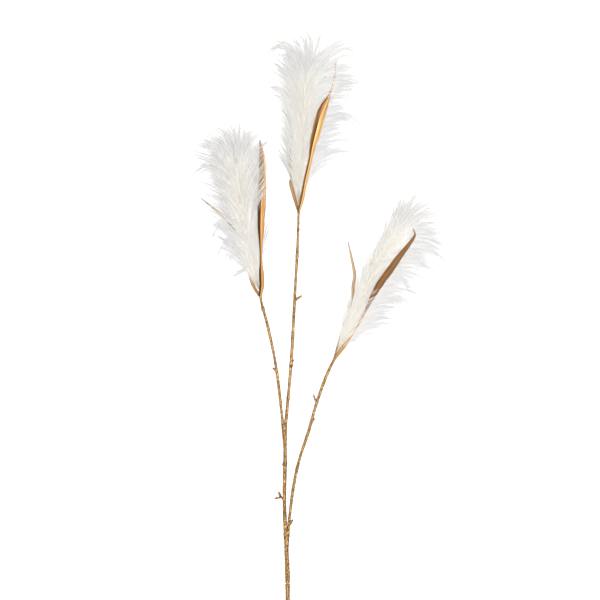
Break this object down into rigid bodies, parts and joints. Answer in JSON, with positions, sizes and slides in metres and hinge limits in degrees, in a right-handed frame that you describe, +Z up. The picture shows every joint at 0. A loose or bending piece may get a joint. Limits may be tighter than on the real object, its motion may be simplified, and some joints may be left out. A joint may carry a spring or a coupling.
{
  "type": "dried reed grass spray",
  "caption": "Branching spray of dried reed grass that lies on its side: pale feathery plumes on wrapped gold stems, with long folded gold leaves clasping the foot of each plume.",
  "frame": {"origin": "under the middle of the whole spray's bounding box, on the surface that the spray lies on", "axes": "+Y along the spray from the cut end of the stem to the plumes, +X towards the lowest plume, which leans right in the picture, +Z up from the surface"},
  "size_m": [0.3974, 0.9042, 0.0522],
  "materials": {
    "gold_stem": "granular gold glitter over a wrapped stem",
    "gold_leaf": "gilded, satin, with fine lengthwise ribs",
    "white_plume": "soft white hair, warmer near the middle"
  },
  "bodies": {
    "root": {"lower_stem": "gold_stem", "main_stem": "gold_stem", "left_branch": "gold_stem", "right_branch": "gold_stem", "plume_left": "white_plume", "plume_centre": "white_plume", "plume_right": "white_plume", "leaf_left_broad": "gold_leaf", "leaf_left_narrow": "gold_leaf", "leaf_centre_broad": "gold_leaf", "leaf_centre_narrow": "gold_leaf", "leaf_right_broad": "gold_leaf", "leaf_right_narrow": "gold_leaf"}
  },
  "joints": []
}
